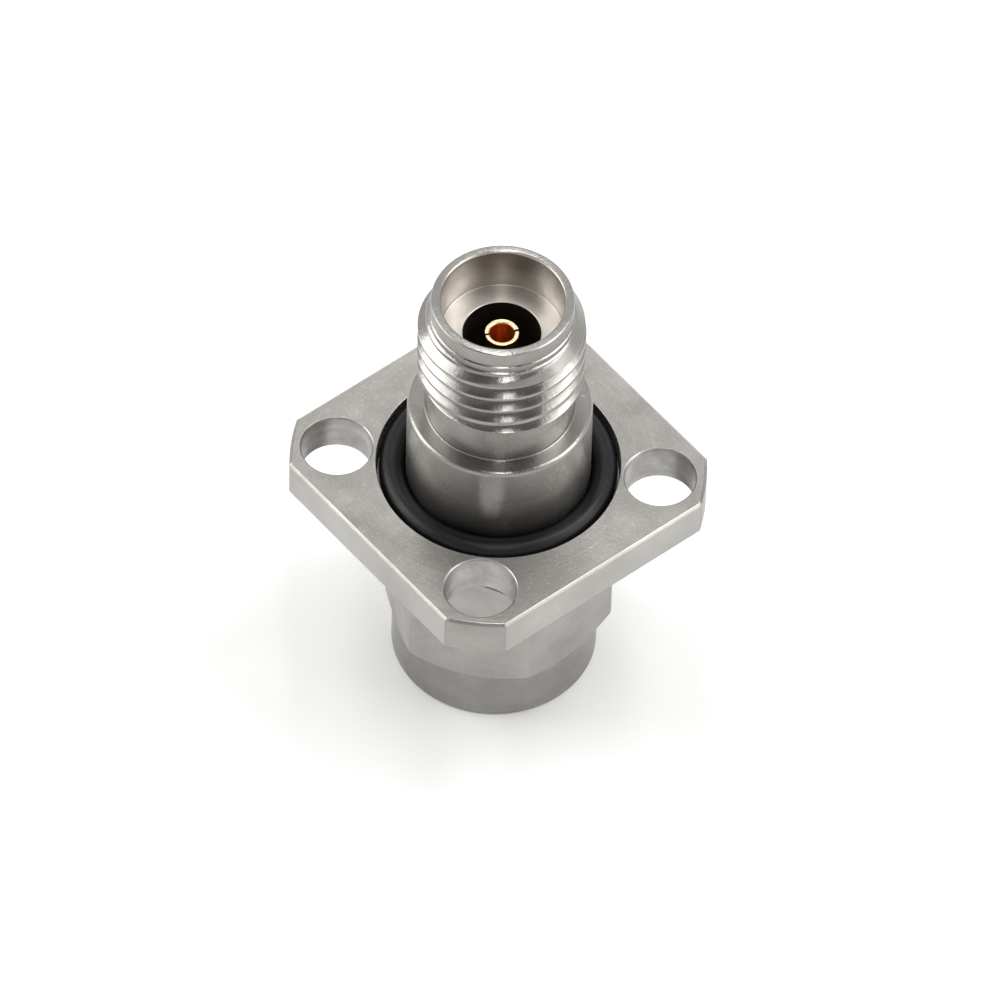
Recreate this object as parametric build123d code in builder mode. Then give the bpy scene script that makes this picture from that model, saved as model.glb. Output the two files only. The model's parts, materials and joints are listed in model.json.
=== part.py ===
import os
from math import cos, hypot, radians, tan

from build123d import *

# Panel-mount coaxial adapter: a flanged jack above and a plug with a captive coupling nut below.
# Lengths are in millimetres. The axis is Z, and the nut's mating end stands on Z = 0.

# Shared coaxial line
line_bore_d = 2.92
conductor_d = 1.27
stem_d = 0.80
stem_grip = 0.80
bead_d = 3.90
bead_thickness = 1.20
slip = 0.01

# Jack
jack_height = 9.58
thread_d = 6.32
thread_length = 4.02
thread_flank_angle = 30.0
lip_wall = 0.39
lip_length = 0.99
lip_break = 0.05
lip_shoulder = 0.10
neck_d = 5.62
counterbore_d = 4.64
counterbore_depth = 1.90
counterbore_break = 0.04
barrel_d = 7.00
barrel_height = 3.54
barrel_break = 0.12
jack_line_length = 4.03

# Jack contact
contact_bore_d = 0.94
contact_bore_depth = 2.60
contact_lead_in = 0.04
slot_width = 0.10
slot_depth = 2.20
slot_turn = -28.0

# Flange
flange_thickness = 1.65
side_wall = 0.65
corner_wall = 0.40
flange_break = 0.10
hole_spacing = 8.70
hole_d = 2.70
hole_break = 0.06

# Seal and its gland in the flange
gland_room = 0.13
seal_section_d = 1.00
seal_stand = 0.11

# Plug
nut_reach = 3.00
pilot_d = 4.53
pilot_length = 2.10
pilot_break = 0.12
front_land = 0.35
boss_d = 6.80
boss_gap = 0.55
boss_break = 0.15
shank_d = 4.90
shank_length = 3.25
shank_end_gap = 0.10
shank_clearance = 0.01
plug_line_length = 4.80

# Plug pin
pin_d = 0.91
pin_reach = 1.30
pin_tip_d = 0.34
pin_taper_length = 0.42
pin_shoulder_set_back = 0.05

# Snap ring
ring_thickness = 0.50
ring_outer_d = 5.96
ring_width = 0.58
ring_opening = 1.30
ring_axial_clearance = 0.02
ring_radial_clearance = 0.07
ring_inner_clearance = 0.15
collar_grip = 0.25
land_grip = 0.20
float_travel = 0.30

# Coupling nut
nut_length = 8.10
nut_to_flange = 0.80
nut_flats = 8.00
nut_turn = 6.5
nose_d = 7.86
nose_length = 2.30
nose_break = 0.25
hex_bevel_angle = 45.0
hex_blank_margin = 0.20
hex_top_d = 7.70
nut_thread_d = 5.60
nut_mouth_d = 6.50
nut_thread_length = 3.90
relief_d = 6.60
relief_length = 1.40
collar_clearance = 0.07

# Radii
line_r = line_bore_d / 2
conductor_r = conductor_d / 2
stem_r = stem_d / 2
bead_r = bead_d / 2
thread_r = thread_d / 2
neck_r = neck_d / 2
counterbore_r = counterbore_d / 2
lip_r = counterbore_r + lip_wall
lip_root_r = lip_r + lip_shoulder
barrel_r = barrel_d / 2
contact_bore_r = contact_bore_d / 2
gland_outer_r = barrel_r + seal_section_d + gland_room
seal_section_r = seal_section_d / 2
hole_circle_r = hypot(hole_spacing, hole_spacing) / 2
flange_side = hole_spacing + hole_d + 2 * side_wall
corner_circle_r = hole_circle_r + hole_d / 2 + corner_wall
pilot_r = pilot_d / 2
ring_outer_r = ring_outer_d / 2
ring_inner_r = ring_outer_r - ring_width
ring_groove_r = ring_inner_r - ring_inner_clearance
collar_r = ring_inner_r + collar_grip
land_r = ring_outer_r - land_grip
shank_r = shank_d / 2
nose_r = nose_d / 2

# Heights along the axis, from the nut's mating end upwards
flange_bottom = nut_length + nut_to_flange
flange_top = flange_bottom + flange_thickness
gland_floor = flange_top + seal_stand - seal_section_d
shoulder_z = flange_top + barrel_height
lip_z = flange_top + jack_height
thread_low = lip_z - thread_length
lip_root_z = lip_z - lip_length
thread_high = lip_root_z - (thread_r - lip_root_r)
thread_flank = (thread_r - neck_r) * tan(radians(thread_flank_angle))
jack_plane = lip_z - counterbore_depth
plug_plane = nut_reach
pilot_top = plug_plane + pilot_length
groove_low = pilot_top + front_land
ring_low = groove_low + float_travel
ring_high = ring_low + ring_thickness
boss_bottom = nut_length + boss_gap
shank_top = boss_bottom + shank_length
plug_bead_low = plug_plane + plug_line_length
plug_bead_high = plug_bead_low + bead_thickness
jack_bead_high = jack_plane - jack_line_length
jack_bead_low = jack_bead_high - bead_thickness


# Flange body: square flange, threaded jack barrel and rear boss turned from one bar
with BuildPart() as flange_body:
    with BuildSketch(Plane.XY.offset(flange_bottom)):
        Rectangle(flange_side, flange_side)
        Circle(corner_circle_r, mode=Mode.INTERSECT)
    extrude(amount=flange_thickness)
    flat_faces = flange_body.faces().filter_by(GeomType.PLANE).sort_by(Axis.Z)
    chamfer(flat_faces[0].edges() + flat_faces[-1].edges(), flange_break)

    with BuildSketch(Plane.XY.offset(flange_top)):
        Circle(gland_outer_r)
        Circle(barrel_r, mode=Mode.SUBTRACT)
    extrude(amount=gland_floor - flange_top, mode=Mode.SUBTRACT)

    with BuildSketch(Plane.XZ):
        with BuildLine():
            Polyline(
                (0, gland_floor),
                (barrel_r, gland_floor),
                (barrel_r, shoulder_z - barrel_break),
                (barrel_r - barrel_break, shoulder_z),
                (neck_r, shoulder_z),
                (neck_r, thread_low - thread_flank),
                (thread_r, thread_low),
                (thread_r, thread_high),
                (lip_root_r, lip_root_z),
                (lip_r, lip_root_z),
                (lip_r, lip_z - lip_break),
                (lip_r - lip_break, lip_z),
                (0, lip_z),
                close=True,
            )
        make_face()
    revolve(axis=Axis.Z)

    with BuildSketch(Plane.XZ):
        with BuildLine():
            Polyline(
                (0, boss_bottom),
                (boss_d / 2 - boss_break, boss_bottom),
                (boss_d / 2, boss_bottom + boss_break),
                (boss_d / 2, flange_bottom),
                (0, flange_bottom),
                close=True,
            )
        make_face()
    revolve(axis=Axis.Z)

    with BuildSketch(Plane.XZ):
        with BuildLine():
            Polyline(
                (0, boss_bottom),
                (shank_r + shank_clearance, boss_bottom),
                (shank_r + shank_clearance, shank_top + shank_end_gap),
                (bead_r, shank_top + shank_end_gap),
                (bead_r, jack_bead_high),
                (line_r, jack_bead_high),
                (line_r, jack_plane),
                (counterbore_r, jack_plane),
                (counterbore_r, lip_z - counterbore_break),
                (counterbore_r + counterbore_break, lip_z),
                (0, lip_z),
                close=True,
            )
        make_face()
    revolve(axis=Axis.Z, mode=Mode.SUBTRACT)

    with BuildSketch(Plane.XY.offset(flange_top)):
        with GridLocations(hole_spacing, hole_spacing, 2, 2):
            Circle(hole_d / 2)
    extrude(amount=-flange_thickness, mode=Mode.SUBTRACT)
    hole_rims = flange_body.edges().filter_by(GeomType.CIRCLE)
    hole_rims = hole_rims.filter_by(lambda rim: abs(rim.radius - hole_d / 2) < slip / 10)
    chamfer(hole_rims, hole_break)
flange_body.part.label = "flange_body"
export_step(flange_body.part, "parts/flange_body.step")


# Flange seal: round-section rubber ring lying on the gland's floor, a little proud of the flange
with BuildPart() as flange_seal:
    seal_mid_r = barrel_r + seal_section_r + 2 * slip
    with BuildSketch(Plane.XZ):
        with Locations((seal_mid_r, gland_floor + seal_section_r + slip)):
            Circle(seal_section_r)
    revolve(axis=Axis.Z)
flange_seal.part.label = "flange_seal"
export_step(flange_seal.part, "parts/flange_seal.step")


# Jack contact: slotted spring socket whose stem passes down through the bead
with BuildPart() as jack_contact:
    with BuildSketch(Plane.XZ):
        with BuildLine():
            Polyline(
                (0, jack_bead_low - stem_grip),
                (stem_r, jack_bead_low - stem_grip),
                (stem_r, jack_bead_high),
                (conductor_r, jack_bead_high),
                (conductor_r, jack_plane),
                (contact_bore_r + contact_lead_in, jack_plane),
                (contact_bore_r, jack_plane - contact_lead_in),
                (contact_bore_r, jack_plane - contact_bore_depth),
                (0, jack_plane - contact_bore_depth),
                close=True,
            )
        make_face()
    revolve(axis=Axis.Z)
    with BuildSketch(Plane.XY.offset(jack_plane)):
        Rectangle(2 * conductor_d, slot_width, rotation=slot_turn)
    extrude(amount=-slot_depth, mode=Mode.SUBTRACT)
jack_contact.part.label = "jack_contact"
export_step(jack_contact.part, "parts/jack_contact.step")


# Beads: two insulators that hold the centre line at its shoulders
with BuildPart() as jack_bead:
    with BuildSketch(Plane.XY.offset(jack_bead_low)):
        Circle(bead_r - slip)
        Circle(stem_r + slip, mode=Mode.SUBTRACT)
    extrude(amount=bead_thickness)
jack_bead.part.label = "jack_bead"
export_step(jack_bead.part, "parts/jack_bead.step")

with BuildPart() as plug_bead:
    with BuildSketch(Plane.XY.offset(plug_bead_low)):
        Circle(bead_r - slip)
        Circle(stem_r + slip, mode=Mode.SUBTRACT)
    extrude(amount=bead_thickness)
plug_bead.part.label = "plug_bead"
export_step(plug_bead.part, "parts/plug_bead.step")


# Line sleeve: outer conductor between the two beads
with BuildPart() as line_sleeve:
    with BuildSketch(Plane.XY.offset(plug_bead_high)):
        Circle(bead_r - slip)
        Circle(line_r, mode=Mode.SUBTRACT)
    extrude(amount=jack_bead_low - plug_bead_high)
line_sleeve.part.label = "line_sleeve"
export_step(line_sleeve.part, "parts/line_sleeve.step")


# Centre conductor: rod between the beads, bored at both ends for the two stems
with BuildPart() as centre_conductor:
    with BuildSketch(Plane.XY.offset(plug_bead_high)):
        Circle(conductor_r)
    extrude(amount=jack_bead_low - plug_bead_high)
    with BuildSketch(Plane.XY.offset(plug_bead_high)):
        Circle(stem_r + slip)
    extrude(amount=stem_grip + slip, mode=Mode.SUBTRACT)
    with BuildSketch(Plane.XY.offset(jack_bead_low)):
        Circle(stem_r + slip)
    extrude(amount=-stem_grip - slip, mode=Mode.SUBTRACT)
centre_conductor.part.label = "centre_conductor"
export_step(centre_conductor.part, "parts/centre_conductor.step")


# Plug pin: tapered tip, contact shoulder and a stem that passes up through the bead
with BuildPart() as plug_pin:
    with BuildSketch(Plane.XZ):
        with BuildLine():
            Polyline(
                (0, plug_plane - pin_reach),
                (pin_tip_d / 2, plug_plane - pin_reach),
                (pin_d / 2, plug_plane - pin_reach + pin_taper_length),
                (pin_d / 2, plug_plane + pin_shoulder_set_back),
                (conductor_r, plug_plane + pin_shoulder_set_back),
                (conductor_r, plug_bead_low),
                (stem_r, plug_bead_low),
                (stem_r, plug_bead_high + stem_grip),
                (0, plug_bead_high + stem_grip),
                close=True,
            )
        make_face()
    revolve(axis=Axis.Z)
plug_pin.part.label = "plug_pin"
export_step(plug_pin.part, "parts/plug_pin.step")


# Plug body: pilot, snap-ring groove and the shank that screws into the flange body
with BuildPart() as plug_body:
    with BuildSketch(Plane.XZ):
        with BuildLine():
            Polyline(
                (line_r, plug_plane),
                (pilot_r - pilot_break, plug_plane),
                (pilot_r, plug_plane + pilot_break),
                (pilot_r, pilot_top),
                (collar_r, pilot_top),
                (collar_r, groove_low),
                (ring_groove_r, groove_low),
                (ring_groove_r, ring_high),
                (collar_r, ring_high),
                (collar_r, boss_bottom),
                (shank_r, boss_bottom),
                (shank_r, shank_top),
                (bead_r, shank_top),
                (bead_r, plug_bead_low),
                (line_r, plug_bead_low),
                close=True,
            )
        make_face()
    revolve(axis=Axis.Z)
plug_body.part.label = "plug_body"
export_step(plug_body.part, "parts/plug_body.step")


# Snap ring: open spring ring that holds the nut on the plug body
with BuildPart() as snap_ring:
    with BuildSketch(Plane.XY.offset(ring_low)):
        Circle(ring_outer_r)
        Circle(ring_inner_r, mode=Mode.SUBTRACT)
        Rectangle(ring_outer_d, ring_opening, align=(Align.MIN, Align.CENTER), mode=Mode.SUBTRACT)
    extrude(amount=ring_thickness)
snap_ring.part.label = "snap_ring"
export_step(snap_ring.part, "parts/snap_ring.step")


# Coupling nut: hexagon with a round nose, bored for the thread, the ring and the plug body
nut_groove_r = ring_outer_r + ring_radial_clearance
nut_groove_top = ring_high + ring_axial_clearance
nut_bore_r = collar_r + collar_clearance
relief_low = nut_thread_length
relief_high = relief_low + relief_length
bevel_slope = tan(radians(hex_bevel_angle))
blank_r = nut_flats / 2 / cos(radians(30)) + hex_blank_margin

with BuildPart() as coupling_nut:
    with BuildSketch(Plane.XY):
        RegularPolygon(nut_flats / 2, 6, major_radius=False, rotation=nut_turn)
    extrude(amount=nut_length)
    with BuildSketch(Plane.XZ):
        with BuildLine():
            Polyline(
                (0, 0),
                (nose_r - nose_break, 0),
                (nose_r, nose_break),
                (nose_r, nose_length),
                (blank_r, nose_length + (blank_r - nose_r) * bevel_slope),
                (blank_r, nut_length - (blank_r - hex_top_d / 2) * bevel_slope),
                (hex_top_d / 2, nut_length),
                (0, nut_length),
                close=True,
            )
        make_face()
    revolve(axis=Axis.Z, mode=Mode.INTERSECT)

    with BuildSketch(Plane.XZ):
        with BuildLine():
            Polyline(
                (0, 0),
                (nut_mouth_d / 2, 0),
                (nut_thread_d / 2, (nut_mouth_d - nut_thread_d) / 2),
                (nut_thread_d / 2, relief_low),
                (relief_d / 2, relief_low),
                (relief_d / 2, relief_high),
                (land_r, relief_high),
                (land_r, ring_low),
                (nut_groove_r, ring_low),
                (nut_groove_r, nut_groove_top),
                (nut_bore_r, nut_groove_top),
                (nut_bore_r, nut_length),
                (0, nut_length),
                close=True,
            )
        make_face()
    revolve(axis=Axis.Z, mode=Mode.SUBTRACT)
coupling_nut.part.label = "coupling_nut"
export_step(coupling_nut.part, "parts/coupling_nut.step")
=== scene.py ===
import json
import math

import bmesh
import bpy
from mathutils import Matrix, Vector

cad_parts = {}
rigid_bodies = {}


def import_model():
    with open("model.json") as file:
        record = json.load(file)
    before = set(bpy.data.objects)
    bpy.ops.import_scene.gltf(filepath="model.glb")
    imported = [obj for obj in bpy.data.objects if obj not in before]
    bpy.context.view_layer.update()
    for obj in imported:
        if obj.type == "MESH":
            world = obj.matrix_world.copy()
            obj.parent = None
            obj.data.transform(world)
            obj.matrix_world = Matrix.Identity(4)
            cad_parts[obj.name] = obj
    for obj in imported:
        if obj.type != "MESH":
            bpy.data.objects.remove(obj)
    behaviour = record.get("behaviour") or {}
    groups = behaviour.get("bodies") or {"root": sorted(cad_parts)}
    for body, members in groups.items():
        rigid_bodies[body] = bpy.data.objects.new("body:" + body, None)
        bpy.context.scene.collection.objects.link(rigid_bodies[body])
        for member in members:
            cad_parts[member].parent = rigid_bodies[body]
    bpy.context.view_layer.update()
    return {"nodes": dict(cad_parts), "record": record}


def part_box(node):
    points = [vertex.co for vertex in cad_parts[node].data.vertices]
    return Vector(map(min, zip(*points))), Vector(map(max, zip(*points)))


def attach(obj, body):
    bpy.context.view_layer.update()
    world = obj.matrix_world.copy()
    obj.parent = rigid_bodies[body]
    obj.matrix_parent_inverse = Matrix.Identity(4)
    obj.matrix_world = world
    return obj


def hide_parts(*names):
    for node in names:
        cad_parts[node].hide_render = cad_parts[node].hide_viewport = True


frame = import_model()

mounts = {m["name"]: m["dims"] for m in frame["record"]["mounts"]}
mm = 0.001  # scene units are metres, the dictionaries below are in millimetres


def nodeBox(node):
    low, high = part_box(node)
    return low / mm, high / mm


camera = {  # found by matching the photo's flange corners, lip and thread
    "azimuth": -39.97,
    "elevation": 51.06,
    "roll": 1.57,
    "distance": 518.6,
    "lens": 494.1,
    "aimDown": 1.455,
    "aimRight": 0.06,
    "nearest": 0.05,  # clipping distances, in metres
    "farthest": 20.0,
}


def cameraAxes():
    a, e, roll = (math.radians(camera[k]) for k in ("azimuth", "elevation", "roll"))
    back = Vector((math.sin(a) * math.cos(e), -math.cos(a) * math.cos(e), math.sin(e)))
    side = Vector((math.cos(a), math.sin(a), 0))
    top = back.cross(side)
    right = side * math.cos(roll) + top * math.sin(roll)
    up = top * math.cos(roll) - side * math.sin(roll)
    return right, up, back


def makeCamera(target):
    right, up, back = cameraAxes()
    place = (target + back * camera["distance"]) * mm
    aim = (target - up * camera["aimDown"] + right * camera["aimRight"]) * mm
    look = (place - aim).normalized()
    right = up.cross(look).normalized()
    up = look.cross(right)
    data = bpy.data.cameras.new("photoCamera")
    data.lens = camera["lens"]
    data.clip_start = camera["nearest"]
    data.clip_end = camera["farthest"]
    obj = bpy.data.objects.new("photoCamera", data)
    bpy.context.scene.collection.objects.link(obj)
    turn = Matrix((right, up, look)).transposed().to_4x4()
    obj.matrix_world = Matrix.Translation(place) @ turn
    bpy.context.scene.camera = obj


def newGroup(name, inputs, outputs):
    # every socket of a shared effect is a number
    group = bpy.data.node_groups.new(name, "ShaderNodeTree")
    for label, value in inputs.items():
        socket = group.interface.new_socket(label, in_out="INPUT", socket_type="NodeSocketFloat")
        socket.default_value = value
    for label in outputs:
        group.interface.new_socket(label, in_out="OUTPUT", socket_type="NodeSocketFloat")
    start = group.nodes.new("NodeGroupInput")
    end = group.nodes.new("NodeGroupOutput")
    return group, start.outputs, end.inputs


def addNode(tree, kind, inputs=None, **settings):
    # an input is a value, or the output of another node that is linked to it
    node = tree.nodes.new(kind)
    for key, value in settings.items():
        setattr(node, key, value)
    for key, value in (inputs or {}).items():
        if isinstance(value, bpy.types.NodeSocket):
            tree.links.new(value, node.inputs[key])
        else:
            node.inputs[key].default_value = value
    return node


def mathNode(tree, operation, a, b=0.0):
    return addNode(tree, "ShaderNodeMath", {0: a, 1: b}, operation=operation).outputs[0]


def product(tree, a, b):
    return mathNode(tree, "MULTIPLY", a, b)


def vectorNode(tree, operation, inputs, output=0):
    node = addNode(tree, "ShaderNodeVectorMath", inputs, operation=operation)
    return node.outputs[output]


def mixColour(tree, factor, first, second):
    first, second = ((*c, 1.0) if isinstance(c, tuple) else c for c in (first, second))
    inputs = {0: factor, 6: first, 7: second}  # a mix node's colours are its sockets 6 and 7
    return addNode(tree, "ShaderNodeMix", inputs, data_type="RGBA").outputs[2]


def rangeNode(tree, value, low, high, toLow, toHigh):
    inputs = {"Value": value, "From Min": low, "From Max": high, "To Min": toLow, "To Max": toHigh}
    return addNode(tree, "ShaderNodeMapRange", inputs).outputs["Result"]


def noiseNode(tree, place, scale, detail, roughness=0.5):
    inputs = {"Vector": place, "Scale": scale, "Detail": detail, "Roughness": roughness}
    return addNode(tree, "ShaderNodeTexNoise", inputs).outputs["Fac"]


def millimetres(tree):
    place = addNode(tree, "ShaderNodeTexCoord").outputs["Object"]
    return vectorNode(tree, "SCALE", {0: place, "Scale": 1 / mm})


ringEffect = {
    "detail": 3.0,
    "roughness": 0.62,
    "bandScale": 0.21,  # of the broad bands against the rings
    "bandDetail": 2.0,
    "bandRange": (0.3, 0.7),
    "chatterScale": (5.0, 5.0, 0.5),  # streaks across the rings, left by the tool
    "chatterDetail": 3.0,
    "chatterRoughness": 0.6,
}


def makeTurnedRings():
    p = ringEffect
    inputs = {"Rings per mm": 9.0, "Wander": 0.4, "Radius share": 1.0}
    group, given, result = newGroup("turnedRings", inputs, ("Height", "Tone", "Chatter"))
    place = millimetres(group)
    x, y, z = addNode(group, "ShaderNodeSeparateXYZ", {0: place}).outputs
    flat = addNode(group, "ShaderNodeCombineXYZ", {"X": x, "Y": y}).outputs[0]
    radius = vectorNode(group, "LENGTH", {0: flat}, "Value")
    angle = mathNode(group, "ARCTAN2", y, x)
    across = product(group, product(group, radius, given["Radius share"]), given["Rings per mm"])
    along = product(group, z, given["Rings per mm"])
    around = product(group, mathNode(group, "SINE", angle), given["Wander"])
    unrolled = {"X": across, "Y": along, "Z": around}
    lines = addNode(group, "ShaderNodeCombineXYZ", unrolled).outputs[0]
    rings = noiseNode(group, lines, 1.0, p["detail"], p["roughness"])
    group.links.new(rings, result["Height"])
    broad = vectorNode(group, "SCALE", {0: lines, "Scale": p["bandScale"]})
    bands = noiseNode(group, broad, 1.0, p["bandDetail"])
    group.links.new(rangeNode(group, bands, *p["bandRange"], 0.0, 1.0), result["Tone"])
    streaks = vectorNode(group, "MULTIPLY", {0: place, 1: p["chatterScale"]})
    chatter = noiseNode(group, streaks, 1.0, p["chatterDetail"], p["chatterRoughness"])
    group.links.new(chatter, result["Chatter"])
    return group


grainEffect = {
    "detail": 2.0,
    "speckDensity": 0.8,  # against the grain
    "dullSpecks": 0.86,  # share of the specks that don't sparkle
    "patchDetail": 4.0,
    "patchRoughness": 0.55,
    "patchRange": (0.32, 0.68),
}


def makeSatinGrain():
    p = grainEffect
    inputs = {"Grain size mm": 0.06, "Patch size mm": 2.5}
    group, given, result = newGroup("satinGrain", inputs, ("Height", "Sparkle", "Patch"))
    place = millimetres(group)
    grainScale = mathNode(group, "DIVIDE", 1.0, given["Grain size mm"])
    group.links.new(noiseNode(group, place, grainScale, p["detail"]), result["Height"])
    speckScale = mathNode(group, "DIVIDE", p["speckDensity"], given["Grain size mm"])
    specks = addNode(group, "ShaderNodeTexVoronoi", {"Vector": place, "Scale": speckScale})
    level = addNode(group, "ShaderNodeSeparateColor", {0: specks.outputs["Color"]}).outputs[0]
    group.links.new(rangeNode(group, level, p["dullSpecks"], 1.0, 0.0, 1.0), result["Sparkle"])
    patchScale = mathNode(group, "DIVIDE", 1.0, given["Patch size mm"])
    patch = noiseNode(group, place, patchScale, p["patchDetail"], p["patchRoughness"])
    group.links.new(rangeNode(group, patch, *p["patchRange"], 0.0, 1.0), result["Patch"])
    return group


# edges painted lighter: partly wear, partly painted highlight
wearAndSheenEffect = {"width": 0.08, "contrast": 6.0, "samples": 4}


def makeEdgeWearAndSheen():
    p = wearAndSheenEffect
    inputs = {"Width": p["width"] * mm, "Contrast": p["contrast"]}
    group, given, result = newGroup("edgeWear", inputs, ("Edge",))
    rounded = addNode(group, "ShaderNodeBevel", {"Radius": given["Width"]}, samples=p["samples"])
    normal = addNode(group, "ShaderNodeNewGeometry").outputs["Normal"]
    turn = vectorNode(group, "DOT_PRODUCT", {0: rounded.outputs[0], 1: normal}, "Value")
    edge = product(group, mathNode(group, "SUBTRACT", 1.0, turn), given["Contrast"])
    group.links.new(mathNode(group, "MINIMUM", edge, 1.0), result["Edge"])
    return group


turnedRings = makeTurnedRings()
satinGrain = makeSatinGrain()
edgeWear = makeEdgeWearAndSheen()
print("shared effects ready")


def newMaterial(name):
    material = bpy.data.materials.new(name)
    material.use_nodes = True
    tree = material.node_tree
    tree.nodes.clear()
    shader = tree.nodes.new("ShaderNodeBsdfPrincipled")
    output = tree.nodes.new("ShaderNodeOutputMaterial")
    tree.links.new(shader.outputs[0], output.inputs["Surface"])
    return material, tree, shader


def useGroup(tree, group, inputs):
    return addNode(tree, "ShaderNodeGroup", inputs, node_tree=group).outputs


def ringsOf(tree, look):
    share = look.get("radiusShare", 1.0)
    inputs = {"Rings per mm": look["rings"], "Wander": look["wander"], "Radius share": share}
    return useGroup(tree, turnedRings, inputs)


def grainOf(tree, look):
    inputs = {"Grain size mm": look["grain"], "Patch size mm": look["patch"]}
    return useGroup(tree, satinGrain, inputs)


def setSurface(tree, shader, look, tone, matt, height):
    # tone is the colour, matt runs from smooth to rough, height is in millimetres
    tree.links.new(tone, shader.inputs["Base Color"])
    rough = look["roughness"] + look["spread"]
    rough = rangeNode(tree, matt, 0.0, 1.0, look["roughness"], rough)
    tree.links.new(rough, shader.inputs["Roughness"])
    bump = addNode(tree, "ShaderNodeBump", {"Height": height, "Strength": 1.0, "Distance": mm})
    tree.links.new(bump.outputs[0], shader.inputs["Normal"])


def makeMetal(name, look):
    # satin metal: rings or grain in the bump, patches and bright edges in the colour; the bright edges
    # are partly wear and partly painted highlight
    material, tree, shader = newMaterial(name)
    rings, grain = ringsOf(tree, look), grainOf(tree, look)
    wear = useGroup(tree, edgeWear, {"Width": look["edge"] * mm})
    deep, bright = look["deep"], look["bright"]
    tone = mixColour(tree, grain["Patch"], look["colour"], deep)
    tone = mixColour(tree, product(tree, rings["Tone"], look["bands"]), tone, deep)
    tone = mixColour(tree, product(tree, grain["Sparkle"], look["sparkle"]), tone, bright)
    tone = mixColour(tree, product(tree, wear["Edge"], look["wear"]), tone, bright)
    if "rim" in look:
        # painted sheen: faces that look up are painted brighter, like a highlight from above
        normal = addNode(tree, "ShaderNodeNewGeometry").outputs["Normal"]
        upward = addNode(tree, "ShaderNodeSeparateXYZ", {0: normal}).outputs["Z"]
        paintedSheen = rangeNode(tree, upward, *look["rimSlope"], 0.0, look["rim"])
        tone = mixColour(tree, paintedSheen, tone, bright)
    shader.inputs["Metallic"].default_value = 1.0
    height = product(tree, rings["Height"], look["ringDepth"])
    height = mathNode(tree, "ADD", height, product(tree, grain["Height"], look["grainDepth"]))
    if "chatter" in look:
        height = mathNode(tree, "ADD", height, product(tree, rings["Chatter"], look["chatter"]))
    setSurface(tree, shader, look, tone, grain["Patch"], height)
    if "brushed" in look:
        shader.inputs["Anisotropic"].default_value = look["brushed"]
        shader.inputs["Anisotropic Rotation"].default_value = 0.25  # a quarter turn
        tangent = addNode(tree, "ShaderNodeTangent", direction_type="RADIAL", axis="Z")
        tree.links.new(tangent.outputs[0], shader.inputs["Tangent"])
    return material


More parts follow.
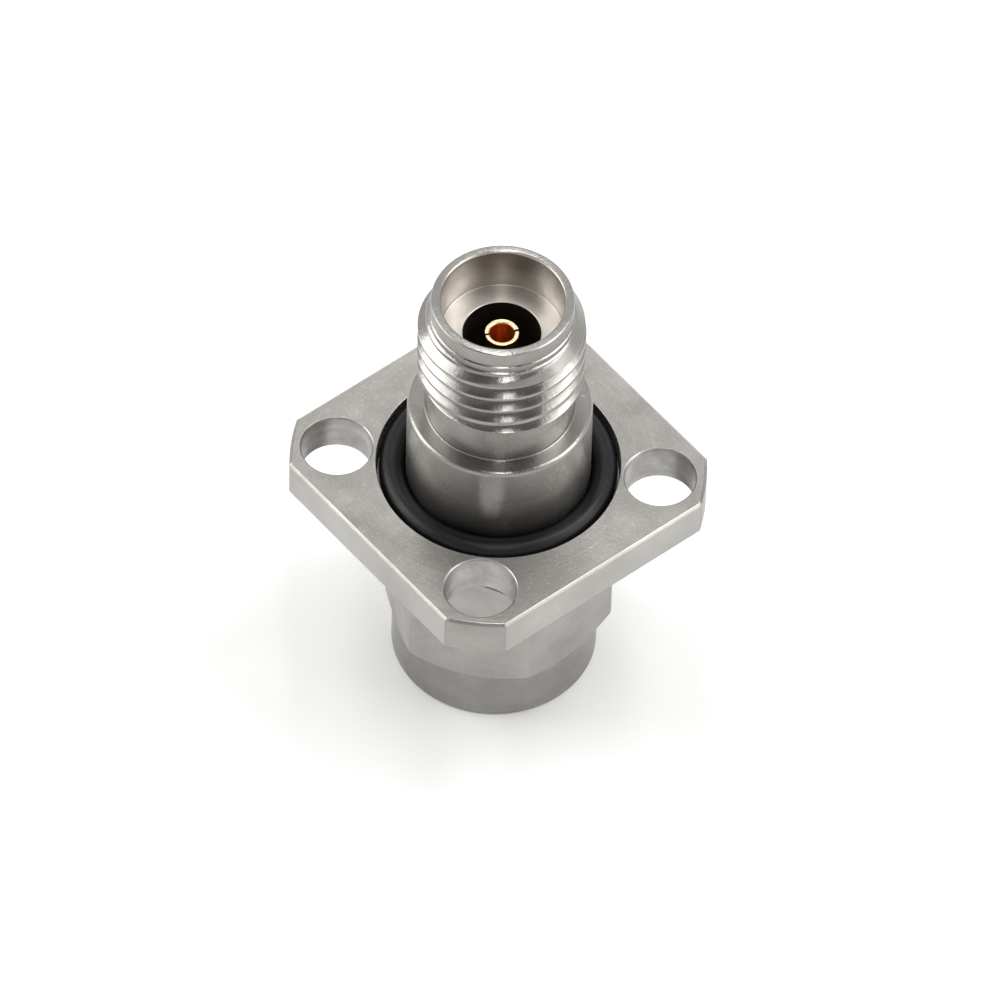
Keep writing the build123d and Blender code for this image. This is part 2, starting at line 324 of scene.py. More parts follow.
metalLooks = {  # lengths in millimetres, rings per millimetre
    "turnedSteel": {
        "colour": (0.35, 0.34, 0.325), "deep": (0.27, 0.26, 0.245), "bright": (0.70, 0.69, 0.67),
        "rings": 14.0, "wander": 0.5, "ringDepth": 0.004, "bands": 0.35,
        "grain": 0.03, "patch": 2.2, "grainDepth": 0.0008, "sparkle": 0.05,
        "edge": 0.05, "wear": 0.6, "roughness": 0.23, "spread": 0.07, "brushed": 0.8, "chatter": 0.007,
    },
    "milledSteel": {
        "colour": (0.47, 0.46, 0.44), "deep": (0.39, 0.38, 0.36), "bright": (0.80, 0.79, 0.77),
        "rings": 3.0, "wander": 1.5, "ringDepth": 0.001, "bands": 0.15,
        "grain": 0.08, "patch": 3.0, "grainDepth": 0.006, "sparkle": 0.06,
        "edge": 0.05, "wear": 0.5, "roughness": 0.34, "spread": 0.08,
    },
    "facedSteel": {
        "colour": (0.37, 0.36, 0.342), "deep": (0.27, 0.26, 0.243), "bright": (0.80, 0.79, 0.77),
        "rings": 7.0, "wander": 2.2, "ringDepth": 0.012, "bands": 0.5,
        "grain": 0.065, "patch": 1.6, "grainDepth": 0.009, "sparkle": 0.12,
        "edge": 0.05, "wear": 0.5, "roughness": 0.34, "spread": 0.10, "brushed": 0.5,
    },
    # a lighter copy of the steel: painted light on the lip's inner edge, counterbore and plane
    "boredSteel": {
        "colour": (0.57, 0.545, 0.51), "deep": (0.46, 0.43, 0.395), "bright": (0.86, 0.85, 0.82),
        "rings": 9.0, "wander": 1.0, "ringDepth": 0.006, "bands": 0.4,
        "grain": 0.05, "patch": 1.2, "grainDepth": 0.003, "sparkle": 0.10,
        "edge": 0.05, "wear": 0.5, "roughness": 0.28, "spread": 0.08, "brushed": 0.6, "chatter": 0.004,
    },
    "drilledSteel": {
        "colour": (0.52, 0.51, 0.49), "deep": (0.30, 0.29, 0.278), "bright": (0.74, 0.73, 0.71),
        "rings": 11.0, "wander": 1.4, "ringDepth": 0.012, "bands": 0.7, "radiusShare": 0.06,
        "grain": 0.06, "patch": 1.0, "grainDepth": 0.004, "sparkle": 0.05,
        "edge": 0.05, "wear": 0.5, "roughness": 0.30, "spread": 0.08,
    },
    # a darker copy of the nut's steel: painted shade on the nose and bore
    "noseSteel": {
        "colour": (0.375, 0.363, 0.347), "deep": (0.28, 0.27, 0.256), "bright": (0.62, 0.61, 0.59),
        "rings": 8.0, "wander": 0.6, "ringDepth": 0.008, "bands": 0.5,
        "grain": 0.10, "patch": 1.6, "grainDepth": 0.007, "sparkle": 0.05,
        "edge": 0.07, "wear": 0.4, "roughness": 0.36, "spread": 0.08, "brushed": 0.3,
    },
    "nutSteel": {
        "colour": (0.44, 0.428, 0.41), "deep": (0.34, 0.33, 0.315), "bright": (0.72, 0.71, 0.69),
        "rings": 10.0, "wander": 0.8, "ringDepth": 0.003, "bands": 0.3,
        "grain": 0.10, "patch": 2.0, "grainDepth": 0.007, "sparkle": 0.05,
        "edge": 0.07, "wear": 0.4, "roughness": 0.4, "spread": 0.08,
    },
    # a near-black copy of the steel: painted shade for the deep, unlit bore
    "darkBore": {
        "colour": (0.075, 0.068, 0.06), "deep": (0.05, 0.045, 0.04), "bright": (0.12, 0.11, 0.1),
        "rings": 10.0, "wander": 0.8, "ringDepth": 0.004, "bands": 0.3,
        "grain": 0.06, "patch": 1.0, "grainDepth": 0.003, "sparkle": 0.1,
        "edge": 0.03, "wear": 0.2, "roughness": 0.5, "spread": 0.1,
    },
    "contactGold": {
        "colour": (1.0, 0.62, 0.27), "deep": (0.94, 0.46, 0.15), "bright": (1.0, 0.78, 0.50),
        "rings": 22.0, "wander": 0.6, "ringDepth": 0.002, "bands": 0.3,
        "grain": 0.04, "patch": 0.6, "grainDepth": 0.001, "sparkle": 0.1,
        # rim paints the faces that look up brighter: a painted sheen
        "edge": 0.03, "wear": 0.5, "roughness": 0.2, "spread": 0.08, "rim": 0.9, "rimSlope": (0.3, 0.9),
    },
    "springBronze": {
        "colour": (0.62, 0.42, 0.24), "deep": (0.50, 0.33, 0.18), "bright": (0.82, 0.62, 0.40),
        "rings": 8.0, "wander": 1.0, "ringDepth": 0.002, "bands": 0.3,
        "grain": 0.05, "patch": 1.2, "grainDepth": 0.002, "sparkle": 0.2,
        "edge": 0.04, "wear": 0.5, "roughness": 0.3, "spread": 0.1,
    },
}
metals = {name: makeMetal(name, look) for name, look in metalLooks.items()}

rubberLook = {
    "colour": (0.005, 0.005, 0.0055), "dust": (0.016, 0.016, 0.016),
    "patchDust": 0.25, "speckDust": 0.3, "specular": 0.24,
    "grain": 0.09, "patch": 1.4, "grainDepth": 0.002, "roughness": 0.28, "spread": 0.12,
}


def makeRubber(name, look):
    material, tree, shader = newMaterial(name)
    grain = grainOf(tree, look)
    cloudy = product(tree, grain["Patch"], look["patchDust"])
    dusty = mathNode(tree, "ADD", cloudy, product(tree, grain["Sparkle"], look["speckDust"]))
    tone = mixColour(tree, dusty, look["colour"], look["dust"])
    height = product(tree, grain["Height"], look["grainDepth"])
    setSurface(tree, shader, look, tone, grain["Patch"], height)
    shader.inputs["Specular IOR Level"].default_value = look["specular"]
    return material


beadLook = {
    "colour": (0.60, 0.42, 0.20), "deep": (0.46, 0.30, 0.13),
    "rings": 9.0, "wander": 0.6, "ringDepth": 0.004,
    "grain": 0.08, "patch": 0.9, "roughness": 0.38, "spread": 0.1,
}


def makeBeadPlastic(name, look):
    material, tree, shader = newMaterial(name)
    rings, grain = ringsOf(tree, look), grainOf(tree, look)
    tone = mixColour(tree, grain["Patch"], look["colour"], look["deep"])
    height = product(tree, rings["Height"], look["ringDepth"])
    setSurface(tree, shader, look, tone, rings["Tone"], height)
    return material


blackRubber = makeRubber("blackRubber", rubberLook)
beadPlastic = makeBeadPlastic("beadPlastic", beadLook)
print("materials ready")


reaches = {  # how far the rounding of a corner reaches along its two sides
    "sharp": 0.0, "crisp": 0.01, "slight": 0.02, "fine": 0.03, "plain": 0.04, "soft": 0.05,
}
sharp, crisp, slight, fine, plain, soft = reaches.values()
sideShare = 0.4  # the most that a rounding takes of its shorter side
samePlace = 1e-5  # corners nearer than this count as one


def easedSection(points):
    # each corner (radius, height, reach) becomes two points; corners in one place stay sharp
    count = len(points)
    eased = []
    i = 0
    while i < count:
        r, z, reach = points[i]
        j = i
        while j + 1 < count and abs(points[j + 1][0] - r) + abs(points[j + 1][1] - z) < samePlace:
            j += 1
        run = j - i + 1
        ways = [(points[k][0] - r, points[k][1] - z) for k in (i - 1, j + 1) if 0 <= k < count]
        pair = [(r, z), (r, z)]
        if len(ways) == 2:
            sides = [math.hypot(*way) for way in ways]
            step = min(reach, sideShare * min(sides)) if run == 1 else 0.0
            pair = [(r + dr * step / s, z + dz * step / s) for (dr, dz), s in zip(ways, sides)]
        eased += [pair[0]] * run + [pair[1]] * run
        i = j + 1
    return eased


def brokenWall(wall, start, end, size, reach):
    # section of a wall between two flat faces that both lie at larger radii, its edges broken
    inward = math.copysign(size, end - start)
    beyond = wall + size + 0.2  # only gives the first and last corner their direction
    points = [
        (beyond, start, sharp),
        (wall + size, start, reach),
        (wall, start + inward, reach),
        (wall, end - inward, reach),
        (wall + size, end, reach),
        (beyond, end, sharp),
    ]
    return easedSection(points)[2:-2]


def lathe(mesh, sections, angles, slots):
    # a closed turn from one section per angle; slots gives the material of each step along the section
    columns = []
    for section, angle in zip(sections, angles):
        c, s = math.cos(angle), math.sin(angle)
        columns.append([mesh.verts.new((r * c, r * s, z)) for r, z in section])
    for left, right in zip(columns, columns[1:]):
        for k in range(len(left) - 1):
            face = mesh.faces.new((left[k], right[k], right[k + 1], left[k + 1]))
            face.material_index = slots[k]
            face.smooth = True
    return columns


def joinCoincident(mesh, reach=2e-5, leastArea=1e-9):
    bmesh.ops.remove_doubles(mesh, verts=mesh.verts[:], dist=reach)
    flat = [f for f in mesh.faces if f.calc_area() < leastArea]
    if flat:
        bmesh.ops.delete(mesh, geom=flat, context="FACES_ONLY")


def loopBetween(mesh, low, high, slot):
    count = len(low)
    made = []
    for k in range(count):
        face = mesh.faces.new((low[k], low[(k + 1) % count], high[(k + 1) % count], high[k]))
        face.material_index = slot
        face.smooth = True
        made.append(face)
    return made


def fillBetween(mesh, loops, up, slot):
    edges = []
    for loop in loops:
        for a, b in zip(loop, loop[1:] + loop[:1]):
            edges.append(mesh.edges.get((a, b)) or mesh.edges.new((a, b)))
    made = bmesh.ops.triangle_fill(mesh, use_beauty=True, edges=edges, normal=(0, 0, up))
    for item in made["geom"]:
        if isinstance(item, bmesh.types.BMFace):
            item.material_index = slot
            item.smooth = False


def evenNormals(data, spread=50.0):
    # a corner's normal leans to the large faces around it, and stays apart across sharp edges
    limit = math.cos(math.radians(spread))
    around = [[] for vertex in data.vertices]
    for face in data.polygons:
        for index in face.vertices:
            around[index].append((face.normal.copy(), (face.area / mm ** 2) ** 2))
    normals = []
    for face in data.polygons:
        for index in face.vertices:
            total = Vector()
            for normal, weight in around[index]:
                if normal.dot(face.normal) > limit:
                    total += normal * weight
            normals.append(total.normalized() if face.use_smooth else face.normal.copy())
    data.normals_split_custom_set(normals)


def meshPiece(name, mesh, materials, body, nodes):
    bmesh.ops.recalc_face_normals(mesh, faces=mesh.faces[:])
    bmesh.ops.scale(mesh, vec=(mm, mm, mm), verts=mesh.verts[:])
    data = bpy.data.meshes.new(name)
    mesh.to_mesh(data)
    mesh.free()
    for material in materials:
        data.materials.append(material)
    obj = bpy.data.objects.new(name, data)
    bpy.context.scene.collection.objects.link(obj)
    evenNormals(data)
    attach(obj, body)
    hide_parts(*nodes)
    return obj


threadAngle = 60.0  # degrees between the two flanks
flankSlope = math.tan(math.radians(90 - threadAngle / 2))
parallel = 1e-6  # slopes nearer than this never meet
sameHeight = 1e-9


def threadCut(cut, centre):
    # the four corners of one groove as (depth above root, height), cut short by the thread's ramp
    full, half = cut["depth"], cut["rootFlat"] / 2
    start, ramp = cut["rampLow"], cut["rampSlope"]
    wide = half + full / flankSlope
    low, high = centre - half, centre + half
    lower = upper = (0.0, start)
    if low > start:
        z = (low * flankSlope + start * ramp) / (flankSlope + ramp)
        lower = ((z - start) * ramp, z) if (z - start) * ramp < full else (full, centre - wide)
    if high > start:
        upper = (full, centre + wide)
        if flankSlope - ramp > parallel:
            z = (high * flankSlope - start * ramp) / (flankSlope - ramp)
            if (z - start) * ramp < full:
                upper = ((z - start) * ramp, z)
    return [lower, (0.0, max(low, start)), (0.0, max(high, start)), upper]


def endedAt(points, top):
    # the section stops at this height and keeps its number of points
    for i in range(1, len(points)):
        (h0, z0), (h1, z1) = points[i - 1], points[i]
        if z1 > top - sameHeight:
            share = 0 if z1 - z0 < sameHeight else max(0.0, (top - z0) / (z1 - z0))
            end = (h0 + (h1 - h0) * share, min(top, z1))
            end = end if z0 < top - sameHeight else points[i - 1]
            return points[:i] + [end] * (len(points) - i)
    return points


def threadSection(cut, turn):
    # turn runs from -0.5 to 0.5 once around, and the grooves climb by one pitch on the way
    full, start, ramp = cut["depth"], cut["rampLow"], cut["rampSlope"]
    rampTop = start + full / ramp
    lead = cut.get("leadTop")
    points = [(0.0, start)]
    for k in range(cut["grooves"]):
        centre = cut["lowest"] + cut["pitch"] * (k + turn)
        if lead and k >= cut["grooves"] // 2:
            # the upper grooves run out on the lead chamfer, which is a ramp seen upside down
            upsideDown = {**cut, "rampLow": -lead, "rampSlope": cut["leadSlope"]}
            corners = [(h, -z) for h, z in reversed(threadCut(upsideDown, -centre))]
            z = min(max(lead - full / cut["leadSlope"], points[-1][1]), corners[0][1])
            points.append((min(full, (lead - z) * cut["leadSlope"]), z))
        else:
            corners = threadCut(cut, centre)
            z = min(max(rampTop, points[-1][1]), corners[0][1])
            points.append((min(full, (z - start) * ramp), z))
        points += corners
    return [*points, (0.0, lead)] if lead else endedAt(points, cut["high"])


bodyLow, bodyHigh = nodeBox("flange_body")
sealLow, sealHigh = nodeBox("flange_seal")
contactHigh = nodeBox("jack_contact")[1]
jackBeadHigh = nodeBox("jack_bead")[1]
plugHigh = nodeBox("plug_body")[1]
threadRadius = mounts["jack_thread"]["r_mm"]
counterboreRadius = mounts["jack_counterbore"]["r_mm"]
holePitch = mounts["flange_holes"]["spacing_x_mm"]
holeRadius = mounts["flange_holes"]["hole_r_mm"]

flangeBody = {
    "columns": 288,
    "frontAngle": -130.0,  # the columns start and end half a turn from here
    "flangeTop": 10.55,
    "flangeThickness": 1.65,
    "flangeBreak": 0.10,
    "cornerRadius": 7.902,
    "cornerSteps": 12,
    "holeBreak": 0.06,
    "holeEase": 0.015,
    "holeSteps": 96,
    "glandRoom": 0.11,  # around the seal
    "glandBreak": 0.03,
    "glandEase": 0.008,
    "barrelRadius": 3.50,
    "barrelHeight": 3.54,
    "barrelBreak": 0.12,
    "neckRadius": 2.81,
    "neckEase": 0.06,
    "threadLength": 4.02,
    "crestDrop": 1.34,  # from the lip down to the first full thread
    "leadHeight": 0.39,
    "stepRadius": 2.75,  # two fine ledges left by the tool at the foot of the lip
    "stepDrop": 0.67,
    "stepFall": 0.022,
    "lipRadius": 2.70,
    "lipEdge": 0.07,
    "lipBreak": 0.07,
    "lineRadius": 1.46,
    "lineBreak": 0.03,
    "seatRoom": 0.01,  # around the pieces that sit in the body
    "shankRoom": 0.10,  # over the plug's shank
    "bossRadius": 3.40,
    "bossBreak": 0.15,
    "pitch": 0.7056,
    "rootFlat": 0.14,
    "frontGroove": 7.87,  # height of the topmost groove above the flange, towards the camera
    "grooves": 6,
}
flangeMetals = ("turnedSteel", "milledSteel", "darkBore", "facedSteel", "boredSteel", "drilledSteel")


def jackThread():
    p = flangeBody
    depth = threadRadius - p["neckRadius"]
    threadLow = bodyHigh.z - p["threadLength"] - depth * math.tan(math.radians(threadAngle / 2))
    return {
        "depth": depth,
        "rootFlat": p["rootFlat"],
        "pitch": p["pitch"],
        "grooves": p["grooves"],
        "lowest": p["flangeTop"] + p["frontGroove"] - (p["grooves"] - 2) * p["pitch"],
        "rampLow": threadLow,
        "rampSlope": flankSlope,
        "leadTop": bodyHigh.z - p["crestDrop"] + p["leadHeight"],
        "leadSlope": depth / p["leadHeight"],
    }


def flangeSection(cut, turn):
    # corners from the gland over the thread and lip into the bore, and down to the boss
    p = flangeBody
    top, lip, plane = p["flangeTop"], bodyHigh.z, contactHigh.z
    shoulder = top + p["barrelHeight"]
    glandRadius, glandFloor = sealHigh.x + p["glandRoom"], sealLow.z - p["seatRoom"]
    barrel, neck, line = p["barrelRadius"], p["neckRadius"], p["lineRadius"]
    beadRadius, beadTop = jackBeadHigh.x + p["seatRoom"], jackBeadHigh.z
    shank, shankTop = plugHigh.x + p["seatRoom"], plugHigh.z + p["shankRoom"]
    boss, bossLow = p["bossRadius"], bodyLow.z
    lower = [
        (glandRadius + p["glandBreak"], top, p["glandEase"]),
        (glandRadius, top - p["glandBreak"], p["glandEase"]),
        (glandRadius, glandFloor, soft),
        (barrel, glandFloor, soft),
        (barrel, shoulder - p["barrelBreak"], soft),
        (barrel - p["barrelBreak"], shoulder, soft),
        (neck, shoulder, p["neckEase"]),
    ]
    thread = [(neck + h, z, fine) for h, z in threadSection(cut, turn)]
    thread[-1] = (*thread[-1][:2], sharp)
    foot = [
        (p["stepRadius"], cut["leadTop"] + p["stepFall"], sharp),
        (p["stepRadius"], lip - p["stepDrop"], sharp),
        (p["lipRadius"], lip - p["stepDrop"] + p["stepFall"], sharp),
        (p["lipRadius"], lip - p["lipEdge"], plain),
    ]
    mouth = [
        (p["lipRadius"] - p["lipEdge"], lip, soft),
        (counterboreRadius + p["lipBreak"], lip, fine),
        (counterboreRadius, lip - p["lipBreak"], fine),
        (counterboreRadius, plane, plain),
        (line + p["lineBreak"], plane, crisp),
        (line, plane - p["lineBreak"], crisp),
    ]
    inner = [
        (line, beadTop, crisp),
        (beadRadius, beadTop, crisp),
        (beadRadius, shankTop, crisp),
        (shank, shankTop, crisp),
        (shank, bossLow, crisp),
        (boss - p["bossBreak"], bossLow, plain),
        (boss, bossLow + p["bossBreak"], plain),
        (boss, top - p["flangeThickness"], sharp),
    ]
    outer = lower + thread + foot + mouth
    return easedSection(outer + inner), len(outer)


def plateOutline(mesh, inset, z):
    # the flange's square with its four turned corners
    p = flangeBody
    half, around, steps = bodyHigh.x - inset, p["cornerRadius"] - inset, p["cornerSteps"]
    edge = math.acos(half / around)
    loop = []
    for quarter in range(4):
        for k in range(steps + 1):
            a = math.pi / 2 * quarter + edge + (math.pi / 2 - 2 * edge) * k / steps
            loop.append(mesh.verts.new((around * math.cos(a), around * math.sin(a), z)))
    return loop


def plateHoles(mesh, top, bottom, slot):
    # the flange's four bores, and their edges on the top and bottom faces
    p = flangeBody
    wall = brokenWall(holeRadius, top, bottom, p["holeBreak"], p["holeEase"])
    angles = [2 * math.pi * k / p["holeSteps"] for k in range(p["holeSteps"])]
    tops, bottoms = [], []
    for sx in (-1, 1):
        for sy in (-1, 1):
            x, y = sx * holePitch / 2, sy * holePitch / 2
            loops = []
            for r, z in wall:
                ring = [(x + r * math.cos(a), y + r * math.sin(a), z) for a in angles]
                loops.append([mesh.verts.new(point) for point in ring])
            for low, high in zip(loops, loops[1:]):
                loopBetween(mesh, low, high, slot)
            tops.append(loops[0])
            bottoms.append(loops[-1])
    return tops, bottoms


def makeFlangeBody():
    p = flangeBody
    top, bottom = p["flangeTop"], p["flangeTop"] - p["flangeThickness"]
    turned, milled, dark, faced, litBoredSlot, drilled = range(len(flangeMetals))
    cut = jackThread()
    turns = [k / p["columns"] - 0.5 for k in range(p["columns"] + 1)]
    angles = [math.radians(p["frontAngle"]) + 2 * math.pi * t for t in turns]
    sections, counts = zip(*(flangeSection(cut, t) for t in turns))
    # every corner has two points, so two steps: its rounding and the side after it
    boredCorners, bossCorners = 5, 4  # from the lip's inner edge to the line bore, and at the boss
    lipInside = 2 * (counts[0] - boredCorners) + 1
    lineEdge = 2 * (counts[0] - 1)
    bossStart = len(sections[0]) - 2 * bossCorners
    # the lip's inner edge, counterbore and plane take the lighter steel: painted light
    slots = [turned] * lipInside + [litBoredSlot] * (lineEdge - lipInside)
    # the deep bore takes the near-black steel: painted shade
    slots += [dark] * (bossStart - lineEdge) + [turned] * 2 * bossCorners
    mesh = bmesh.new()
    columns = lathe(mesh, sections, angles, slots)
    glandLoop = [c[0] for c in columns[:-1]]
    bossLoop = [c[-1] for c in columns[:-1]]
    rim = brokenWall(0.0, bottom, top, p["flangeBreak"], slight)
    rimLoops = [plateOutline(mesh, inset, z) for inset, z in rim]
    for low, high in zip(rimLoops, rimLoops[1:]):
        for k, face in enumerate(loopBetween(mesh, low, high, milled)):
            if k % (p["cornerSteps"] + 1) < p["cornerSteps"]:
                face.material_index = turned  # the rounded corners
    holeTops, holeBottoms = plateHoles(mesh, top, bottom, drilled)
    fillBetween(mesh, [rimLoops[-1], glandLoop, *holeTops], 1, faced)
    fillBetween(mesh, [rimLoops[0], bossLoop, *holeBottoms], -1, milled)
    joinCoincident(mesh)
    materials = [metals[look] for look in flangeMetals]
    return meshPiece("flangeBodyTurned", mesh, materials, "adapter", ["flange_body"])


nutHigh = nodeBox("coupling_nut")[1]
ringLow, ringHigh = nodeBox("snap_ring")
couplingNut = {
    "columns": 300,
    "cornerTurn": 6.5,
    "cornerColumns": (-0.9, -0.45, 0.0, 0.45, 0.9),  # degrees from each corner of the hexagon
    "leastColumn": 0.1,  # degrees
    "flats": 8.00,
    "cornerEase": 0.05,
    "noseRadius": 3.93,
    "noseLength": 2.30,
    "noseBreak": 0.07,
    "topRadius": 3.85,
    "threadRadius": 2.80,
    "mouthRadius": 3.25,
    "threadLength": 3.90,
    "threadDepth": 0.38,
    "rootFlat": 0.09,
    "pitch": 0.7056,
    "lowestGroove": -0.36,
    "grooves": 8,
    "reliefRadius": 3.30,
    "reliefLength": 1.40,
    "landRadius": 2.78,
    "collarRadius": 2.72,
    "collarBreak": 0.06,
    "ringRoom": 0.07,
    "ringPlay": 0.02,
}


def nutTurns():
    # even columns around the nut, with a few more at each corner of the hexagon
    p = couplingNut
    turns = [k / p["columns"] - 0.5 for k in range(p["columns"] + 1)]
    for k in range(-6, 7):
        corner = (p["cornerTurn"] + 60 * k) / 360
        turns += [corner + offset / 360 for offset in p["cornerColumns"]]
    turns = sorted(set(round(t, 7) for t in turns if -0.5 <= t <= 0.5))
    kept = [turns[0]]
    for t in turns[1:]:
        if t - kept[-1] > p["leastColumn"] / 360:
            kept.append(t)
    kept[-1] = 0.5
    return kept


def nutThread():
    p = couplingNut
    return {
        "depth": p["threadDepth"],
        "rootFlat": p["rootFlat"],
        "pitch": p["pitch"],
        "grooves": p["grooves"],
        "lowest": p["lowestGroove"] - p["pitch"] / 2,
        "rampLow": p["mouthRadius"] - (p["threadRadius"] + p["threadDepth"]),
        "rampSlope": 1.0,
        "high": p["threadLength"],
    }


def nutSection(cut, turn):
    # corners from the collar over the hexagon and nose, and up through the thread to the collar
    p = couplingNut
    height, apothem = nutHigh.z, p["flats"] / 2
    mouth, nose, top = p["mouthRadius"], p["noseRadius"], p["topRadius"]
    root = p["threadRadius"] + p["threadDepth"]
    relief, reliefTop = p["reliefRadius"], p["threadLength"] + p["reliefLength"]
    land, collar = p["landRadius"], p["collarRadius"]
    groove, grooveTop = ringHigh.x + p["ringRoom"], ringHigh.z + p["ringPlay"]
    fromFlat = (turn * 360 - p["cornerTurn"]) % 60 - 30
    corner = apothem / math.cos(math.radians(30)) - p["cornerEase"]
    hexRadius = min(apothem / math.cos(math.radians(fromFlat)), corner)
    outside = [
        (collar + p["collarBreak"], height, slight),
        (top, height, fine),
        (hexRadius, height - (hexRadius - top), fine),
        (hexRadius, p["noseLength"] + hexRadius - nose, fine),
        (nose, p["noseLength"], fine),
        (nose, p["noseBreak"], plain),
        (nose - p["noseBreak"], 0.0, plain),
        (mouth, 0.0, slight),
    ]
    thread = [(root - h, z, slight) for h, z in threadSection(cut, turn)]
    inside = [
        (relief, p["threadLength"], fine),
        (relief, reliefTop, fine),
        (land, reliefTop, slight),
        (land, ringLow.z, crisp),
        (groove, ringLow.z, crisp),
        (groove, grooveTop, crisp),
        (collar, grooveTop, crisp),
        (collar, height - p["collarBreak"], slight),
        (collar + p["collarBreak"], height, slight),
    ]
    return easedSection(outside + thread + inside)


def makeCouplingNut():
    cut = nutThread()
    turns = nutTurns()
    sections = [nutSection(cut, t) for t in turns]
    hexCorners = 4  # the first corners of the section; nose and bore are turned, and take a darker copy of the steel as painted shade
    slots = [0] * 2 * hexCorners + [1] * (len(sections[0]) - 2 * hexCorners)
    mesh = bmesh.new()
    lathe(mesh, sections, [2 * math.pi * t for t in turns], slots)
    joinCoincident(mesh)
    materials = [metals["nutSteel"], metals["noseSteel"]]
    return meshPiece("couplingNutTurned", mesh, materials, "nut", ["coupling_nut"])


flangeSeal = {
    "around": 240,
    "across": 48,
    "shrink": 0.004,  # keeps the ring inside the solid that it replaces
    "flash": 0.0036,  # height of the moulding line
    "flashWidth": 0.06,  # as a share of the section
}


def makeFlangeSeal():
    p = flangeSeal
    section = (sealHigh.z - sealLow.z) / 2
    middle, height = sealHigh.x - section, (sealHigh.z + sealLow.z) / 2
    mesh = bmesh.new()
    rings = []
    for k in range(p["around"]):
        a = 2 * math.pi * k / p["around"]
        ring = []
        for j in range(p["across"]):
            b = 2 * math.pi * j / p["across"]
            line = math.exp(-((math.sin(b) / p["flashWidth"]) ** 2))
            size = section - p["shrink"] + p["flash"] * line
            r, z = middle + size * math.cos(b), height + size * math.sin(b)
            ring.append(mesh.verts.new((r * math.cos(a), r * math.sin(a), z)))
        rings.append(ring)
    for k in range(p["around"]):
        loopBetween(mesh, rings[k], rings[(k + 1) % p["around"]], 0)
    return meshPiece("flangeSealRing", mesh, [blackRubber], "adapter", ["flange_seal"])


flangeBodyPiece = makeFlangeBody()
print("flange body:", len(flangeBodyPiece.data.polygons), "faces")
couplingNutPiece = makeCouplingNut()
print("coupling nut:", len(couplingNutPiece.data.polygons), "faces")
flangeSealPiece = makeFlangeSeal()
print("flange seal:", len(flangeSealPiece.data.polygons), "faces")


edgeRound = {"segments": 2, "angle": 35.0, "weld": 1e-7}
keptNodes = {  # material, and how far its edges are eased
    "jack_contact": (metals["contactGold"], 0.02),
    "centre_conductor": (metals["contactGold"], 0.03),
    "plug_pin": (metals["contactGold"], 0.02),
    "snap_ring": (metals["springBronze"], 0.04),
    "plug_body": (metals["turnedSteel"], 0.03),
    # painted shade: the sleeve deep in the bore takes the near-black steel
    "line_sleeve": (metals["darkBore"], 0.03),
    "jack_bead": (beadPlastic, 0.03),
    "plug_bead": (beadPlastic, 0.03),
}


def dressNode(node, material, edge):
    obj = frame["nodes"][node]
    for holder in obj.material_slots:
        holder.material = material
    weld = obj.modifiers.new("weld", "WELD")
    weld.merge_threshold = edgeRound["weld"]
    bevel = obj.modifiers.new("easedEdges", "BEVEL")
    bevel.width = edge * mm
    bevel.segments = edgeRound["segments"]
    bevel.limit_method = "ANGLE"
    bevel.angle_limit = math.radians(edgeRound["angle"])
    bevel.harden_normals = True


for node, (material, edge) in keptNodes.items():
    dressNode(node, material, edge)
print("kept solids dressed")


studio = {
    "skyColour": (1.0, 0.995, 0.985, 1.0),
    "lowSky": 0.93,  # round the horizon
    "highSky": 0.50,
    "skyTurn": (0.68, 0.86),  # heights between which the low sky becomes the high sky
    "backSky": 0.90,  # what the top faces mirror
    "backElevation": 51.0,
    "backSpread": (0.80, 0.95),  # cosines, like frontSpread
    "frontShare": 0.13,  # of the sky, in the dark gap over the camera
    "frontElevation": 72.0,
    "frontSpread": (0.84, 0.87),
    "floorColour": (0.80, 0.80, 0.795),
    "floorCloud": 0.985,  # the floor's darker patches against its colour
    "floorCloudScale": 60.0,
    "floorCloudDetail": 3.0,
    "floorRoughness": 0.7,
    "floorSpecular": 0.15,
    "floorLift": 0.05,
    "floorHalf": 3.0,  # metres
    "wattsPerRadiance": 4.0,  # for each square metre of a softbox
}
softboxes = {
    # azimuth from the camera side (right is plus), elevation, distance, width, height, radiance
    "leftPanel": (-103.0, 38.0, 0.55, 0.34, 0.44, 2.6),
    "rightPanel": (84.0, 40.0, 0.55, 0.30, 0.40, 1.9),
    "backPanel": (115.0, 62.0, 0.55, 0.20, 0.24, 4.2),
    "topStrip": (4.5, 92.0, 0.46, 0.04, 0.56, 7.5),
}


def directionFrom(azimuth, elevation):
    back = cameraAxes()[2]
    front = Vector((back.x, back.y, 0)).normalized()
    side = Vector((-front.y, front.x, 0))
    a, e = math.radians(azimuth), math.radians(elevation)
    level = front * math.cos(a) + side * math.sin(a)
    return level * math.cos(e) + Vector((0, 0, math.sin(e)))


def makeSoftbox(name, azimuth, elevation, distance, width, height, radiance):
    data = bpy.data.lights.new(name, "AREA")
    data.shape = "RECTANGLE"
    data.size, data.size_y = width, height
    data.energy = studio["wattsPerRadiance"] * width * height * radiance
    obj = bpy.data.objects.new(name, data)
    bpy.context.scene.collection.objects.link(obj)
    away = directionFrom(azimuth, elevation)
    obj.location = away * distance
    obj.rotation_euler = away.to_track_quat("Z", "Y").to_euler()
    obj.visible_camera = False


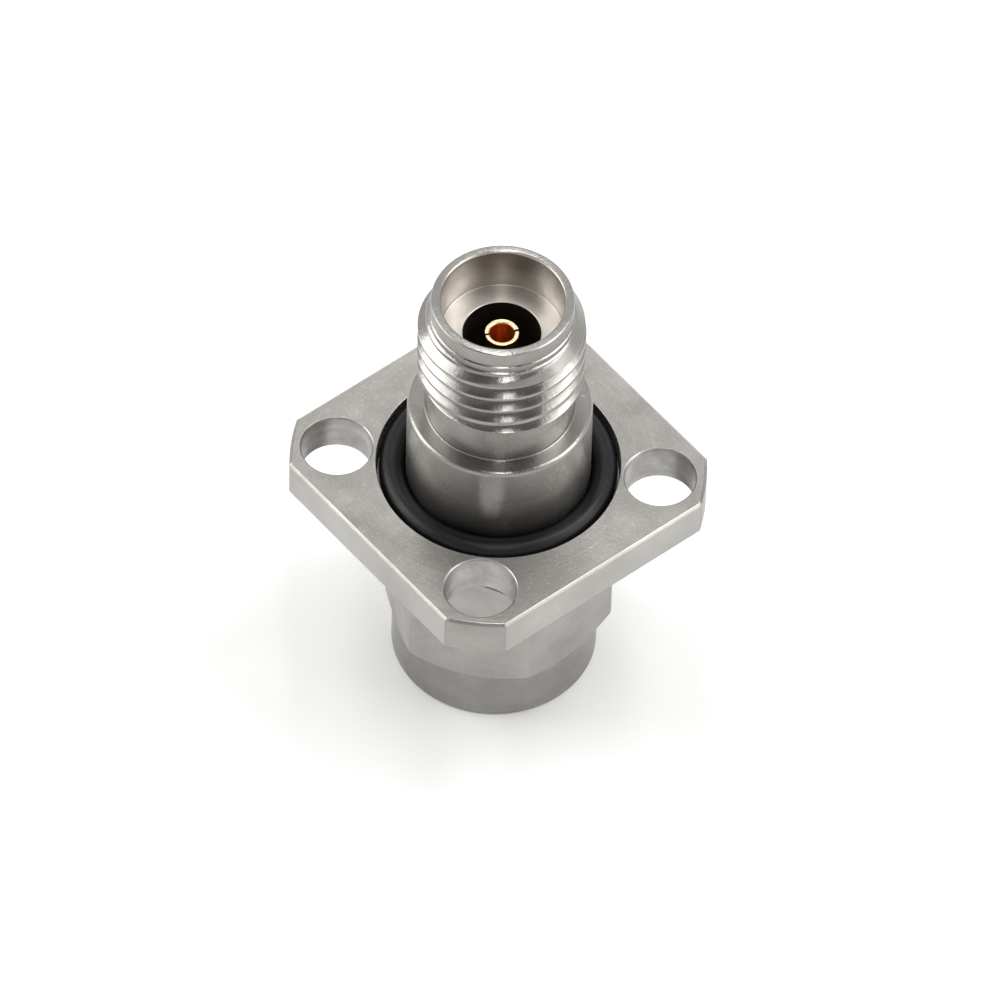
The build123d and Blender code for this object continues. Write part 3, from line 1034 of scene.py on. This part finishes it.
def makeWorld():
    world = bpy.data.worlds.new("studioSky")
    bpy.context.scene.world = world
    world.use_nodes = True
    tree = world.node_tree
    tree.nodes.clear()
    place = addNode(tree, "ShaderNodeTexCoord").outputs["Generated"]
    front = directionFrom(0.0, studio["frontElevation"])
    near = vectorNode(tree, "DOT_PRODUCT", {0: place, 1: front}, "Value")
    back = directionFrom(180.0, studio["backElevation"])
    behind = vectorNode(tree, "DOT_PRODUCT", {0: place, 1: back}, "Value")
    height = addNode(tree, "ShaderNodeSeparateXYZ", {0: place}).outputs["Z"]
    level = rangeNode(tree, height, *studio["skyTurn"], studio["lowSky"], studio["highSky"])
    pale = rangeNode(tree, behind, *studio["backSpread"], 0.0, studio["backSky"])
    gap = rangeNode(tree, near, *studio["frontSpread"], 1.0, studio["frontShare"])
    level = product(tree, mathNode(tree, "MAXIMUM", level, pale), gap)
    inputs = {"Color": studio["skyColour"], "Strength": level}
    sky = addNode(tree, "ShaderNodeBackground", inputs)
    output = tree.nodes.new("ShaderNodeOutputWorld")
    tree.links.new(sky.outputs[0], output.inputs["Surface"])


def makeFloorMaterial():
    material, tree, shader = newMaterial("paleFloor")
    place = addNode(tree, "ShaderNodeTexCoord").outputs["Object"]
    cloud = noiseNode(tree, place, studio["floorCloudScale"], studio["floorCloudDetail"])
    dull = tuple(c * studio["floorCloud"] for c in studio["floorColour"])
    tone = mixColour(tree, cloud, studio["floorColour"], dull)
    tree.links.new(tone, shader.inputs["Base Color"])
    shader.inputs["Roughness"].default_value = studio["floorRoughness"]
    shader.inputs["Specular IOR Level"].default_value = studio["floorSpecular"]
    # the floor glows a little, but only where it is seen, not as a light
    rays = addNode(tree, "ShaderNodeLightPath").outputs
    seen = mathNode(tree, "MAXIMUM", rays["Is Camera Ray"], rays["Is Glossy Ray"])
    seen = mathNode(tree, "MAXIMUM", seen, rays["Is Transmission Ray"])
    shader.inputs["Emission Color"].default_value = (1, 1, 1, 1)
    glow = product(tree, seen, studio["floorLift"])
    tree.links.new(glow, shader.inputs["Emission Strength"])
    return material


def makeFloor():
    mesh = bmesh.new()
    half = studio["floorHalf"]
    places = [(x * half, y * half, 0.0) for x, y in ((-1, -1), (1, -1), (1, 1), (-1, 1))]
    mesh.faces.new([mesh.verts.new(place) for place in places])
    data = bpy.data.meshes.new("paleFloor")
    mesh.to_mesh(data)
    mesh.free()
    data.materials.append(makeFloorMaterial())
    floor = bpy.data.objects.new("paleFloor", data)
    bpy.context.scene.collection.objects.link(floor)


makeCamera(Vector((0, 0, flangeBody["flangeTop"])))
for name, values in softboxes.items():
    makeSoftbox(name, *values)
makeWorld()
makeFloor()
bpy.context.scene.view_settings.view_transform = "Standard"
print("studio ready")
